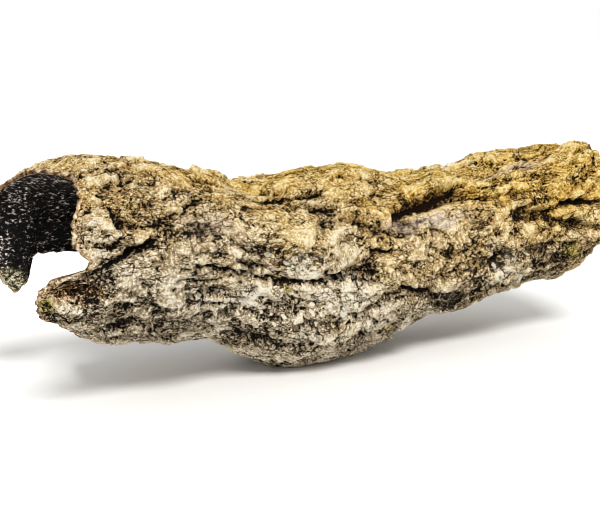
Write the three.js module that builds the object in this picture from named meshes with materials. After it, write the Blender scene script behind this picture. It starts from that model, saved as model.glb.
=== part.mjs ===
// A piece of cork bark: a hollow tube that came off a bent branch through one lengthwise split, lying on its
// belly. Millimetres, +Z up. +X runs along the branch from the wide mouth to the thin end, and the split is
// low on the +Y side. The origin is on the surface that the belly rests on, under the middle of the piece.
// Angles are degrees round the branch: 0 faces -Y, 90 is up, 180 faces +Y and -90 is down.
import * as THREE from "three";

// Outline of the piece from the side: [x, height] points that a smooth curve passes through.
// The belly dips below 0, where the bark is worn flat and rests.
const CREST = [
  [-222, 131], [-200, 138], [-184, 141], [-150, 141], [-115, 136], [-92, 132], [-60, 123],
  [-10, 129], [55, 123], [110, 122], [170, 132], [228, 137],
];
const BELLY = [
  [-222, 40], [-184, 35], [-150, 28], [-120, 26], [-92, 26], [-70, 13], [-40, -2], [-4, -4],
  [20, 0], [42, 6], [58, 14], [98, 18], [118, 24], [152, 31], [190, 36], [228, 44],
];
// Half width, and the line that the branch's pith followed: [x, value] points.
const HALF_WIDTH = [[-222, 50], [-150, 57], [-90, 57], [-20, 61], [60, 57], [120, 54], [228, 49]];
const PITH_HEIGHT = [[-222, 90], [-120, 84], [-30, 72], [60, 71], [130, 79], [228, 86]];
const PITH_SIDE = [[-222, 2], [-120, -2], [0, 0], [100, 3], [228, -2]];
const SQUARENESS = 2.15; // 2 is an ellipse, more is boxier
const WALL_SHARE = 0.26; // wall thickness as a share of the outer radius
const RIM_SHARE = 0.11; // the same at a broken edge, where the wall thins over RIM_RUN
const RIM_RUN = 16;
const LEAST_WALL = 3; // left under the deepest furrow
const GIRTH_RADIUS = 55; // turns an angle into millimetres round the bark

// Broken rims of the two mouths: [angle, x] points. The wide one has a tongue below a notch in front.
const WIDE_RIM = [
  [-130, -166], [-90, -172], [-63, -179], [-49, -190], [-40, -201], [-30, -207], [-15, -205], [-8, -197],
  [-5, -184], [-2, -179], [8, -183], [16, -188], [25, -187], [35, -182], [60, -178], [90, -190], [130, -203],
  [165, -219], [222, -232],
];
const THIN_RIM = [
  [-150, 200], [-90, 203], [-40, 206], [0, 213], [45, 223], [90, 226], [150, 224], [205, 214],
];

// Lips of the split: [x on the plain sheet, angle] points. A finger of the upper lip hangs by the wide mouth.
const LOWER_LIP = [[-190, -121], [-120, -127], [0, -138], [100, -146], [208, -149]];
const UPPER_LIP = [
  [-190, 192], [-182, 196], [-177, 201], [-174, 209], [-171, 216], [-167, 217], [-164.5, 210], [-163, 200],
  [-161.5, 191], [-158, 190], [-100, 191], [0, 195], [208, 203],
];

// The sheet of bark unrolled: its mean ends and lips, and how fast the edges' shape fades away from them.
const MEAN_ENDS = [-190, 208];
const MEAN_LIPS = [-135, 195];
const RIM_FADE = 7;
const LIP_FADE = 5;
const SHEET_LENGTH = MEAN_ENDS[1] - MEAN_ENDS[0];
const SHEET_GIRTH = THREE.MathUtils.degToRad(MEAN_LIPS[1] - MEAN_LIPS[0]) * GIRTH_RADIUS;
const TEETH = { length: 13, depth: 2.2, run: 8 }; // of the edges: they die out over the run

// Relief of the outer face. Plates and flakes are cells, each at a height of its own and tilted.
const WANDER = { along: 10, across: 7 }; // how far slow noise bends furrows and plates
const SWELL = { height: 3.4, size: [75, 50], half: [36, 26], halfShare: 0.55 }; // broad, and half as broad
const PLATE = { size: [46, 22], step: 2.8, tilt: 3, seed: 7 }; // mean length and width, then heights
const FLAKE = { size: [17, 9], step: 2, tilt: 2.2, seed: 15 };
const FURROW = { depth: 3.6, size: [85, 24], reach: 0.11 }; // where slow noise passes zero, closer than reach
const FURROW_OPEN = { size: [50, 30], mean: 0.6, change: 1.6 }; // share of the depth, which comes and goes
const INNER_WAVE = { height: 1.6, size: [40, 24] };
const EDGE_WEAR = 3; // how far broken edges are worn back, over EDGE_RUN
const EDGE_RUN = 7;

// Cracks that stand out: [x, angle] at both ends, half width and depth.
const CRACKS = [
  { from: [-178, -4], to: [-146, 14], reach: 3.2, depth: 7 },
  { from: [-108, 57], to: [-78, 51], reach: 2.6, depth: 6.5 },
  { from: [-74, 51], to: [-22, 53], reach: 1.8, depth: 5 },
  { from: [34, 39], to: [92, 48], reach: 4, depth: 8 },
  { from: [-118, 0], to: [-62, -8], reach: 1.3, depth: 4.5 },
  { from: [-66, -8], to: [-18, -5], reach: 1.5, depth: 4.5 },
  { from: [-68, -50], to: [2, -46], reach: 2.2, depth: 5 },
  { from: [28, -16], to: [72, -30], reach: 2.8, depth: 5 },
  { from: [176, 20], to: [206, 16], reach: 3.4, depth: 6.5 },
  { from: [2, 10], to: [18, 9], reach: 2.2, depth: 5.5 },
  { from: [-36, 42], to: [-20, 38], reach: 2.4, depth: 5 },
  { from: [110, 63], to: [150, 62], reach: 2.4, depth: 5 },
  { from: [-30, 118], to: [70, 124], reach: 3.5, depth: 7 },
  { from: [-150, 128], to: [-70, 140], reach: 3, depth: 6.5 },
  { from: [90, 150], to: [190, 146], reach: 3.5, depth: 7 },
  { from: [-60, 168], to: [30, 164], reach: 3, depth: 6 },
  { from: [60, 92], to: [140, 98], reach: 2.6, depth: 5.5 },
  { from: [-140, 88], to: [-80, 96], reach: 2.6, depth: 5.5 },
];
// Hollows, and bosses with a minus depth: [x, angle] of the middle, half length, half width and depth.
const HOLLOWS = [
  { at: [-150, 20], reach: [20, 12], depth: 2 },
  { at: [-4, -4], reach: [11, 8], depth: 4 },
  { at: [112, -14], reach: [11, 9], depth: 6.5 },
  { at: [140, 14], reach: [14, 9], depth: 5.5 },
  { at: [180, 0], reach: [6, 6], depth: 6.5 },
  { at: [46, 22], reach: [30, 7], depth: 3 },
  { at: [66, 42], reach: [27, 7], depth: 4 },
  { at: [-189, -17], reach: [15, 8], depth: 5 },
  { at: [-174, 21], reach: [13, 12], depth: -4.5 },
  { at: [-66, 24], reach: [40, 12], depth: -3.5 },
  { at: [-34, 8], reach: [20, 9], depth: -2.5 },
  { at: [98, 28], reach: [14, 10], depth: -3 },
  { at: [20, -4], reach: [20, 9], depth: -3 },
  { at: [-98, 44], reach: [16, 8], depth: -2.5 },
  { at: [150, 100], reach: [24, 14], depth: -4 },
  { at: [-90, 150], reach: [26, 16], depth: -4 },
  { at: [40, 160], reach: [30, 12], depth: -3.5 },
];

// The worn spot of the belly that it rests on: [x, angle] of the middle, half length and half width.
const REST_SPOT = { at: [0, -88], reach: [46, 26] };

// Grid of the mesh: steps along the branch and round it, on each face of the wall.
const OUTER_STEPS = [76, 62];
const INNER_STEPS = [28, 20];
const INNER_CROWD = 0.6; // the inner steps are shorter by this share at the mouths
const RELIEF_PROBES = 3; // relief is the mean of this many probes each way across a step

const { abs, cos, exp, floor, hypot, imul, max, min, PI, sin } = Math;
const { clamp, degToRad: rad, lerp, radToDeg } = THREE.MathUtils;

// Smooth curve through [x, value] points: a cubic between neighbours, level past both ends.
function through(points, x) {
  const last = points.length - 1;
  const at = clamp(x, points[0][0], points[last][0]);
  const i = min(points.findLastIndex((p) => p[0] <= at), last - 1);
  const slope = (k) => {
    const before = points[max(k - 1, 0)];
    const after = points[min(k + 1, last)];
    return (after[1] - before[1]) / (after[0] - before[0]);
  };
  const width = points[i + 1][0] - points[i][0];
  const t = (at - points[i][0]) / width;
  const s = 1 - t;
  return (
    points[i][1] * (1 + 2 * t) * s * s + points[i + 1][1] * (1 + 2 * s) * t * t +
    width * t * s * (slope(i) * s - slope(i + 1) * t)
  );
}

// A number from 0 to 1 for each point of a whole-number lattice, always the same for the same seed.
function lattice(i, j, seed) {
  let h = imul(i, 374761393) + imul(j, 668265263) + imul(seed, 1442695041);
  h = imul(h ^ (h >>> 13), 1274126177);
  h = imul(h ^ (h >>> 15), 2246822519);
  return ((h ^ (h >>> 16)) >>> 0) / 4294967296;
}

// Gradient noise from about -1 to 1 over a lattice of unit squares.
function noise(x, y, seed) {
  const i = floor(x);
  const j = floor(y);
  const ease = (t) => t * t * t * (t * (t * 6 - 15) + 10);
  const slope = (di, dj) => {
    const turn = 2 * PI * lattice(i + di, j + dj, seed);
    return cos(turn) * (x - i - di) + sin(turn) * (y - j - dj);
  };
  const a = ease(x - i);
  const b = ease(y - j);
  const low = slope(0, 0) * (1 - a) + slope(1, 0) * a;
  const high = slope(0, 1) * (1 - a) + slope(1, 1) * a;
  return 1.5 * (low * (1 - b) + high * b);
}

// Cells round scattered points, each at a height of its own and tilted. The cell's own number gives both.
function plates(x, t, { size, step, tilt, seed }) {
  const cx = x / size[0];
  const ct = t / size[1];
  let nearest = 9;
  let height = 0;
  for (let i = floor(cx) - 1; i <= floor(cx) + 1; i++) {
    for (let j = floor(ct) - 1; j <= floor(ct) + 1; j++) {
      const dx = i + lattice(i, j, seed) - cx;
      const dt = j + lattice(i, j, seed + 1) - ct;
      if (hypot(dx, dt) < nearest) {
        nearest = hypot(dx, dt);
        const own = lattice(i, j, seed + 2);
        height = step * (own - 0.5) + tilt * (((own * 7.3) % 1 - 0.5) * dx + ((own * 13.7) % 1 - 0.5) * dt);
      }
    }
  }
  return height;
}

const bell = (t) => exp(-t * t);
const girth = (angle) => rad(angle) * GIRTH_RADIUS; // millimetres round the bark

// Height of the bark above its mean outline at x and at t millimetres round the branch.
function relief(x, t) {
  const wx = x + WANDER.along * noise(x / 40, t / 24, 3);
  const wt = t + WANDER.across * noise(x / 48, t / 22, 4);
  const slow = ([long, wide], seed) => noise(wx / long, wt / wide, seed);
  const swell = SWELL.height * (slow(SWELL.size, 1) + SWELL.halfShare * slow(SWELL.half, 2));
  const open = clamp(FURROW_OPEN.mean + FURROW_OPEN.change * slow(FURROW_OPEN.size, 6), 0, 1);
  const furrow = FURROW.depth * open * bell(slow(FURROW.size, 5) / FURROW.reach);
  return swell + plates(wx, wt, PLATE) + plates(wx, wt, FLAKE) - furrow;
}

// Depth of the cracks and hollows that stand out, at x and t.
function scars(x, t) {
  let depth = 0;
  for (const { from, to, reach, depth: deep } of CRACKS) {
    const along = clamp((x - from[0]) / (to[0] - from[0]), 0, 1);
    const away = hypot(x - lerp(from[0], to[0], along), t - girth(lerp(from[1], to[1], along)));
    depth = max(depth, deep * bell(away / reach));
  }
  for (const { at, reach, depth: deep } of HOLLOWS) {
    const away = hypot((x - at[0]) / reach[0], (t - girth(at[1])) / reach[1]);
    depth += deep * bell(away * away);
  }
  return depth;
}

// Share of the relief that is left at x and t: none in the middle of the worn spot.
function unworn(x, t) {
  const { at, reach } = REST_SPOT;
  const away = hypot((x - at[0]) / reach[0], (t - girth(at[1])) / reach[1]);
  return 1 - bell(away * away);
}

// Relief and scars averaged over one step of the outer grid, so that the facets follow them evenly.
function meanRelief(x, t) {
  const stepX = SHEET_LENGTH / OUTER_STEPS[0];
  const stepT = SHEET_GIRTH / OUTER_STEPS[1];
  let sum = 0;
  for (let i = 0; i < RELIEF_PROBES; i++) {
    for (let j = 0; j < RELIEF_PROBES; j++) {
      const px = x + stepX * ((i + 0.5) / RELIEF_PROBES - 0.5);
      const pt = t + stepT * ((j + 0.5) / RELIEF_PROBES - 0.5);
      sum += relief(px, pt) - scars(px, pt);
    }
  }
  return (unworn(x, t) * sum) / RELIEF_PROBES ** 2;
}

// Distance from the pith to the mean outline, at x and an angle in degrees.
function outline(x, angle) {
  const rise = sin(rad(angle));
  const pith = through(PITH_HEIGHT, x);
  const half = rise > 0 ? through(CREST, x) - pith : pith - through(BELLY, x);
  const across = abs(cos(rad(angle))) / through(HALF_WIDTH, x);
  return (across ** SQUARENESS + (abs(rise) / half) ** SQUARENESS) ** (-1 / SQUARENESS);
}

// The spot on the sheet of bark at u along it and v round it, both from 0 to 1. The sheet is a plain
// rectangle of x and angle, and its four edges are pulled to the rims and lips, less and less away from them.
function spot(u, v) {
  const plainX = lerp(MEAN_ENDS[0], MEAN_ENDS[1], u);
  const plainAngle = lerp(MEAN_LIPS[0], MEAN_LIPS[1], v);
  const angle =
    plainAngle + (through(LOWER_LIP, plainX) - MEAN_LIPS[0]) * (1 - v) ** LIP_FADE +
    (through(UPPER_LIP, plainX) - MEAN_LIPS[1]) * v ** LIP_FADE;
  const x =
    plainX + (through(WIDE_RIM, angle) - MEAN_ENDS[0]) * (1 - u) ** RIM_FADE +
    (through(THIN_RIM, angle) - MEAN_ENDS[1]) * u ** RIM_FADE;
  const fromEnd = [u * SHEET_LENGTH, (1 - u) * SHEET_LENGTH];
  const fromLip = [v * SHEET_GIRTH, (1 - v) * SHEET_GIRTH];
  const ragged = (run, seed, away) =>
    TEETH.depth * noise(run / TEETH.length, 0, seed) * exp(-away / TEETH.run);
  const shift = ragged(x, 47, fromLip[0]) + ragged(x, 50, fromLip[1]);
  return {
    x: x + ragged(girth(angle), 41, fromEnd[0]) + ragged(girth(angle), 44, fromEnd[1]),
    angle: angle + radToDeg(shift / GIRTH_RADIUS),
    toEdge: min(...fromEnd, ...fromLip),
  };
}

// A point at a distance from the pith.
function place(x, angle, radius) {
  return new THREE.Vector3(
    x,
    through(PITH_SIDE, x) - radius * cos(rad(angle)),
    through(PITH_HEIGHT, x) + radius * sin(rad(angle)),
  );
}

// Distance from the pith to the mean inner face: the outline less the wall, which thins towards its edges.
function innerRadius(x, angle, toEdge) {
  return outline(x, angle) * (1 - lerp(WALL_SHARE, RIM_SHARE, bell(toEdge / RIM_RUN)));
}

function outerPoint(u, v) {
  const { x, angle, toEdge } = spot(u, v);
  const radius = outline(x, angle) + meanRelief(x, girth(angle)) - EDGE_WEAR * bell(toEdge / EDGE_RUN);
  const point = place(x, angle, max(radius, innerRadius(x, angle, toEdge) + LEAST_WALL));
  point.z = max(point.z, 0); // the worn flat that it rests on
  return point;
}

function innerPoint(u, v) {
  const { x, angle, toEdge } = spot(u, v);
  const { height, size } = INNER_WAVE;
  const wave = height * noise(x / size[0], girth(angle) / size[1], 9) * (1 - bell(toEdge / RIM_RUN));
  return place(x, angle, innerRadius(x, angle, toEdge) + wave);
}

// Steps from 0 to 1 that are shorter at both ends by a share, and longer in the middle.
function shares(steps, crowd) {
  const share = (_, i) => i / steps - (crowd * sin((2 * PI * i) / steps)) / (2 * PI);
  return Array.from({ length: steps + 1 }, share);
}

// The closed sheet: an outer and an inner grid, joined along the two rims and the two lips.
function barkGeometry() {
  const points = [];
  const index = [];

  const grid = (along, round, pointAt) => {
    const first = points.length;
    for (const u of along) {
      for (const v of round) points.push(pointAt(u, v));
    }
    return (i, j) => first + i * round.length + j;
  };
  const [outerAlong, outerRound] = OUTER_STEPS.map((steps) => shares(steps, 0));
  const innerAlong = shares(INNER_STEPS[0], INNER_CROWD);
  const innerRound = shares(INNER_STEPS[1], 0);
  const outer = grid(outerAlong, outerRound, outerPoint);
  const inner = grid(innerAlong, innerRound, innerPoint);

  const triangle = (a, b, c, turned) => index.push(...(turned ? [a, c, b] : [a, b, c]));
  const cover = ([alongSteps, roundSteps], at, turned) => {
    for (let i = 0; i < alongSteps; i++) {
      for (let j = 0; j < roundSteps; j++) {
        triangle(at(i, j), at(i + 1, j), at(i + 1, j + 1), turned);
        triangle(at(i, j), at(i + 1, j + 1), at(i, j + 1), turned);
      }
    }
  };
  cover(OUTER_STEPS, outer, false);
  cover(INNER_STEPS, inner, true);

  // A strip between two edges with different steps: the edge that is behind takes the next step.
  const strip = (outerShares, outerAt, innerShares, innerAt, turned) => {
    let i = 0;
    let j = 0;
    while (i < outerShares.length - 1 || j < innerShares.length - 1) {
      if ((outerShares[i + 1] ?? 2) <= (innerShares[j + 1] ?? 2)) {
        triangle(outerAt(i), outerAt(i + 1), innerAt(j), turned);
        i++;
      } else {
        triangle(outerAt(i), innerAt(j + 1), innerAt(j), turned);
        j++;
      }
    }
  };
  strip(outerRound, (j) => outer(0, j), innerRound, (j) => inner(0, j), false);
  strip(outerRound, (j) => outer(OUTER_STEPS[0], j), innerRound, (j) => inner(INNER_STEPS[0], j), true);
  strip(outerAlong, (i) => outer(i, 0), innerAlong, (i) => inner(i, 0), true);
  strip(outerAlong, (i) => outer(i, OUTER_STEPS[1]), innerAlong, (i) => inner(i, INNER_STEPS[1]), false);

  const geometry = new THREE.BufferGeometry().setFromPoints(points).setIndex(index);
  geometry.computeVertexNormals();
  return geometry;
}

const cork = new THREE.MeshStandardMaterial({ color: 0x9a8260, roughness: 0.95, metalness: 0 });
const bark = new THREE.Mesh(barkGeometry(), cork);
bark.name = "bark";

const piece = new THREE.Group();
piece.add(bark);

export default piece;
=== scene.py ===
# %% [markdown]
# A piece of cork bark: a hollow tube that came off a bent branch through one lengthwise split. It lies on
# the swelling of its belly, with the wide mouth to the left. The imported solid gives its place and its
# size. Here that solid is replaced with a finer surface of the same form, and the surface gets its
# furrows, flakes and colours.

import bpy
import numpy as np
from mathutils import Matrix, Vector


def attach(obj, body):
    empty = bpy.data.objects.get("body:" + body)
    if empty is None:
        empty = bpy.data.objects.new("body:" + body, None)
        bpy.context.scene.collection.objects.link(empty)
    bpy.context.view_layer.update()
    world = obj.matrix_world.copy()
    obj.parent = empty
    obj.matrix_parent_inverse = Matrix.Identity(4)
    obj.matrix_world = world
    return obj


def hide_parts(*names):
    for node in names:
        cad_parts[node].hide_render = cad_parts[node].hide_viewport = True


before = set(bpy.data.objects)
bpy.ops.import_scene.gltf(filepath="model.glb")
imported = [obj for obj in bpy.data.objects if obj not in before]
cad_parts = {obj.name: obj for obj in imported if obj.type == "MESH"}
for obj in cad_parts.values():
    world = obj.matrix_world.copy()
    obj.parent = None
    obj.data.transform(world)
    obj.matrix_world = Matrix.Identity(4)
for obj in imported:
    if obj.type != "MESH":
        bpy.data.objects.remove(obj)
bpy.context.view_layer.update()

# %% [markdown]
# The camera stands in front of the wide mouth and looks along the piece, a little down on it. A lens
# longer than a normal one keeps the far end from shrinking too much. Its place is in millimetres, as all
# sizes below are.

# %% Camera
MM = 0.001
CAMERA_AT = (-378.2, -626.0, 205.9)
CAMERA_TURN = -30.0  # degrees from +Y towards +X, looked at from above as negative
CAMERA_DROP = 11.0  # degrees below the horizon
LENS = 66.0  # on a 36 mm sensor


def add_camera():
    """A camera at CAMERA_AT that looks CAMERA_DROP degrees down."""
    lens = bpy.data.cameras.new("camera")
    lens.lens = LENS
    lens.sensor_width = 36.0
    lens.clip_start = 0.01
    camera = bpy.data.objects.new("camera", lens)
    camera.location = [MM * value for value in CAMERA_AT]
    camera.rotation_euler = np.radians((90.0 - CAMERA_DROP, 0.0, CAMERA_TURN))
    bpy.context.scene.collection.objects.link(camera)
    bpy.context.scene.camera = camera
    return camera


print("camera:", add_camera().name)

# %% [markdown]
# The form is the same as the solid's: a side outline, a half width and the line of the pith, each a
# smooth curve through a few points. Bark has no straight line in it, so curves through listed points
# suit it better than cylinders with cuts. Angles are degrees round the branch: 0 faces the camera's side,
# 90 is up, -90 is down.

# %% Outline of the piece
CREST = [
    (-222, 131), (-200, 138), (-184, 141), (-150, 141), (-115, 136), (-92, 132), (-60, 123),
    (-10, 129), (55, 123), (110, 122), (170, 132), (228, 137),
]
BELLY = [
    (-222, 40), (-184, 35), (-150, 28), (-120, 26), (-92, 26), (-70, 13), (-40, -2),
    (-4, -4), (20, 0), (42, 6), (58, 14), (98, 18), (118, 24), (152, 31), (190, 36), (228, 44),
]
HALF_WIDTH = [(-222, 50), (-150, 57), (-90, 57), (-20, 61), (60, 57), (120, 54), (228, 49)]
PITH_HEIGHT = [(-222, 90), (-120, 84), (-30, 72), (60, 71), (130, 79), (228, 86)]
PITH_SIDE = [(-222, 2), (-120, -2), (0, 0), (100, 3), (228, -2)]
SQUARENESS = 2.15  # 2 is an ellipse, more is boxier
WALL_SHARE = 0.26  # wall thickness as a share of the outer radius
RIM_SHARE = 0.11  # the same at a broken edge, where the wall thins over RIM_RUN
RIM_RUN = 16.0
LEAST_WALL = 3.0  # left under the deepest furrow
GIRTH_RADIUS = 55.0  # turns an angle into millimetres round the bark


def through(points, x):
    """A smooth curve through (x, value) points: a cubic between neighbours, level past both ends.
    The slope at a point is that of the straight line between its two neighbours."""
    at_x, at_y = np.array(points, float).T
    number = np.arange(len(at_x))
    before = np.maximum(number - 1, 0)
    after = np.minimum(number + 1, len(at_x) - 1)
    slope = (at_y[after] - at_y[before]) / (at_x[after] - at_x[before])
    x = np.clip(x, at_x[0], at_x[-1])
    i = np.clip(np.searchsorted(at_x, x, side="right") - 1, 0, len(at_x) - 2)
    width = at_x[i + 1] - at_x[i]
    t = (x - at_x[i]) / width
    s = 1.0 - t
    ends = at_y[i] * (1 + 2 * t) * s * s + at_y[i + 1] * (1 + 2 * s) * t * t
    return ends + width * t * s * (slope[i] * s - slope[i + 1] * t)


def outline(x, angle):
    """Distance from the pith to the mean outer face: a superellipse with half heights above and below."""
    rise = np.sin(np.radians(angle))
    pith = through(PITH_HEIGHT, x)
    half = np.where(rise > 0, through(CREST, x) - pith, pith - through(BELLY, x))
    across = np.abs(np.cos(np.radians(angle))) / through(HALF_WIDTH, x)
    return (across**SQUARENESS + (np.abs(rise) / half) ** SQUARENESS) ** (-1 / SQUARENESS)


def place(x, angle, radius):
    """Points at a distance from the pith, as an array whose last axis is x, y, z in millimetres."""
    y = through(PITH_SIDE, x) - radius * np.cos(np.radians(angle))
    z = through(PITH_HEIGHT, x) + radius * np.sin(np.radians(angle))
    return np.stack([x, y, z], axis=-1)


def girth(angle):
    """Millimetres round the bark for an angle in degrees."""
    return np.radians(angle) * GIRTH_RADIUS


print("wall at the wide mouth's top:", round(float(WALL_SHARE * outline(-190.0, 90.0)), 1), "mm")

# %% [markdown]
# Natural relief needs numbers that look random and are always the same. A hash turns each point of a
# whole-number lattice into one. Smooth noise leans on those numbers for swellings and wandering lines.
# Cells round scattered points give plates and flakes, each with a height and a tilt of its own. Blender
# has such textures too, but worked out here they shape the mesh itself, and the colours can follow the
# same furrows.

# %% Noise and cells
def lattice(i, j, seed):
    """A number from 0 to 1 for each lattice point (i, j): a multiply-and-shift hash with a seed."""
    mixed = i.astype(np.int64) * 374761393 + j.astype(np.int64) * 668265263 + seed * 1442695041
    h = mixed.astype(np.uint32)
    h = (h ^ (h >> 13)) * np.uint32(1274126177)
    h = (h ^ (h >> 15)) * np.uint32(2246822519)
    return (h ^ (h >> 16)) / 4294967296.0


def noise(x, y, seed):
    """Gradient noise from about -1 to 1: random slopes at lattice points, blended by an ease curve."""
    i, j = np.floor(x), np.floor(y)
    fx, fy = x - i, y - j

    def slope(di, dj):
        """The height that the random slope at one corner gives here."""
        turn = 2 * np.pi * lattice(i + di, j + dj, seed)
        return np.cos(turn) * (fx - di) + np.sin(turn) * (fy - dj)

    a = fx**3 * (fx * (fx * 6 - 15) + 10)
    b = fy**3 * (fy * (fy * 6 - 15) + 10)
    low = slope(0, 0) * (1 - a) + slope(1, 0) * a
    high = slope(0, 1) * (1 - a) + slope(1, 1) * a
    return 1.5 * (low * (1 - b) + high * b)


def cells(x, y, seed):
    """Cells round scattered points: the gap to the border, the cell's number and the place in it."""
    nearest = np.full(x.shape, 9.0)
    second = np.full(x.shape, 9.0)
    own, off_x, off_y = np.zeros(x.shape), np.zeros(x.shape), np.zeros(x.shape)
    for di in (-1, 0, 1):
        for dj in (-1, 0, 1):
            i, j = np.floor(x) + di, np.floor(y) + dj
            dx = i + lattice(i, j, seed) - x
            dy = j + lattice(i, j, seed + 1) - y
            d = np.hypot(dx, dy)
            closer = d < nearest
            second = np.where(closer, nearest, np.minimum(second, d))
            nearest = np.where(closer, d, nearest)
            own = np.where(closer, lattice(i, j, seed + 2), own)
            off_x = np.where(closer, dx, off_x)
            off_y = np.where(closer, dy, off_y)
    return second - nearest, own, off_x, off_y


def bell(t):
    """1 at 0, falling smoothly to 0 on both sides."""
    return np.exp(-t * t)


print("noise at a point:", noise(np.array([0.3]), np.array([0.6]), 1).round(3))

# %% [markdown]
# The bark is one sheet, rolled up and open along the split. Its rims are broken: in front a notch with a
# tongue below it, and at the back a lobe of the upper lip that hangs down. The sheet starts as a plain
# rectangle of x and angle, and its four edges are pulled to the rims and lips, less and less away from
# them.

# %% The sheet and its broken edges
WIDE_RIM = [
    (-130, -166), (-90, -172), (-63, -179), (-49, -190), (-40, -201), (-30, -207), (-15, -205),
    (-8, -197), (-5, -184), (-2, -179), (8, -183), (16, -188), (25, -187), (35, -182), (60, -178),
    (90, -190), (130, -203), (165, -219), (222, -232),
]
THIN_RIM = [(-150, 200), (-90, 203), (-40, 206), (0, 213), (45, 223), (90, 226), (150, 224), (205, 214)]
LOWER_LIP = [(-190, -121), (-120, -127), (0, -138), (100, -146), (208, -149)]
UPPER_LIP = [
    (-190, 192), (-182, 196), (-177, 201), (-174, 209), (-171, 216), (-167, 217), (-164.5, 210), (-163, 200),
    (-161.5, 191), (-158, 190), (-100, 191), (0, 195), (208, 203),
]
MEAN_ENDS = (-190.0, 208.0)
MEAN_LIPS = (-135.0, 195.0)
RIM_FADE = 7
LIP_FADE = 5
TEETH_RUN = 8.0  # the teeth of the edges die out over this
SHEET_LENGTH = MEAN_ENDS[1] - MEAN_ENDS[0]
SHEET_GIRTH = np.radians(MEAN_LIPS[1] - MEAN_LIPS[0]) * GIRTH_RADIUS


def teeth(run, seed):
    """Ragged teeth along an edge, in millimetres: slow, middling and quick noise."""
    line = 0 * run
    slow = 2.2 * noise(run / 13, line, seed)
    middling = 1.8 * noise(run / 5, line, seed + 1)
    quick = 1.2 * noise(run / 2.6, line, seed + 2)
    return slow + middling + quick


def sheet(u, v):
    """x and angle of the sheet at u along and v round it, from 0 to 1, and the distance to its edge."""
    plain_x = MEAN_ENDS[0] + SHEET_LENGTH * u
    angle = (
        MEAN_LIPS[0] + (MEAN_LIPS[1] - MEAN_LIPS[0]) * v
        + (through(LOWER_LIP, plain_x) - MEAN_LIPS[0]) * (1 - v) ** LIP_FADE
        + (through(UPPER_LIP, plain_x) - MEAN_LIPS[1]) * v**LIP_FADE
    )
    x = (
        plain_x + (through(WIDE_RIM, angle) - MEAN_ENDS[0]) * (1 - u) ** RIM_FADE
        + (through(THIN_RIM, angle) - MEAN_ENDS[1]) * u**RIM_FADE
    )
    to_edges = [u * SHEET_LENGTH, (1 - u) * SHEET_LENGTH, v * SHEET_GIRTH, (1 - v) * SHEET_GIRTH]
    plain_t = girth(angle)
    shift_x = sum(teeth(plain_t, 41 + 3 * i) * np.exp(-away / TEETH_RUN) for i, away in enumerate(to_edges))
    shift_t = sum(teeth(x, 53 + 3 * i) * np.exp(-away / TEETH_RUN) for i, away in enumerate(to_edges))
    return x + shift_x, angle + np.degrees(shift_t / GIRTH_RADIUS), np.min(to_edges, axis=0)


print("sheet unrolled:", round(SHEET_LENGTH), "x", round(float(SHEET_GIRTH)), "mm")

# %% [markdown]
# The large relief is what the solid has too: broad swellings, large plates that stand higher or lower
# than their neighbours, furrows that wander along the branch, and the cracks, hollows and bosses that can
# be told apart from a step away.

# %% Large relief
SWELL = 3.4
PLATE = (46.0, 22.0)  # mean length and width
PLATE_STEP = 2.8  # how much neighbouring plates differ in height
PLATE_TILT = 3.0
FURROW_DEPTH = 3.6
FURROW_REACH = 0.11  # half width of a furrow, as a share of the noise that draws it
# Cracks: x and angle at both ends, half width and depth.
CRACKS = [
    ((-178, -4), (-146, 14), 3.2, 7.0), ((-108, 57), (-78, 51), 2.6, 6.5), ((-74, 51), (-22, 53), 1.8, 5.0),
    ((35, 35), (90, 52), 5.0, 10.0), ((-118, 0), (-62, -8), 1.3, 4.5), ((-66, -8), (-18, -5), 1.5, 4.5),
    ((-68, -50), (2, -46), 2.2, 5.0), ((28, -16), (72, -30), 2.8, 5.0), ((176, 20), (206, 16), 3.4, 6.5),
    ((2, 10), (18, 9), 2.2, 5.5), ((-36, 42), (-20, 38), 2.4, 5.0), ((110, 63), (150, 62), 2.4, 5.0),
    ((-30, 118), (70, 124), 3.5, 7.0), ((-150, 128), (-70, 140), 3.0, 6.5),
    ((90, 150), (190, 146), 3.5, 7.0),
    ((-60, 168), (30, 164), 3.0, 6.0), ((60, 92), (140, 98), 2.6, 5.5), ((-140, 88), (-80, 96), 2.6, 5.5),
]
# Hollows, with a minus depth for bosses: x and angle of the middle, half length, half width and depth.
HOLLOWS = [
    ((-197, 88), (20, 26), 4.0), ((-150, 20), (20, 12), 2.0), ((-4, -4), (11, 8), 4.0),
    ((112, -14), (11, 9), 6.5), ((140, 14), (14, 9), 5.5), ((180, 0), (6, 6), 6.5),
    ((46, 22), (30, 7), 3.0), ((66, 42), (27, 7), 4.0), ((-189, -17), (15, 8), 5.0),
    ((-174, 21), (13, 12), -4.5), ((-66, 24), (40, 12), -3.5), ((-34, 8), (20, 9), -2.5),
    ((98, 28), (14, 10), -3.0), ((20, -4), (20, 9), -3.0), ((-98, 44), (16, 8), -2.5),
    ((150, 100), (24, 14), -4.0), ((-90, 150), (26, 16), -4.0), ((40, 160), (30, 12), -3.5),
]
# Rings round old knots, a minus for moats: x and angle of the middle, half length and width, height.
RINGS = [
    ((112, -14), (10, 10), 2.4), ((-190, -18), (13, 8), 2.2), ((-174, 23), (11, 11), -2.6),
    ((-40, 150), (9, 9), 2.4),
]
REST_SPOT = ((0, -88), (42, 18))  # the worn spot that it rests on: x and angle, half length and half width


def wander(x, t):
    """The place pushed about by slow noise, so that furrows and plates bend."""
    return x + 10 * noise(x / 40, t / 24, 3), t + 7 * noise(x / 48, t / 22, 4)


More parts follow.
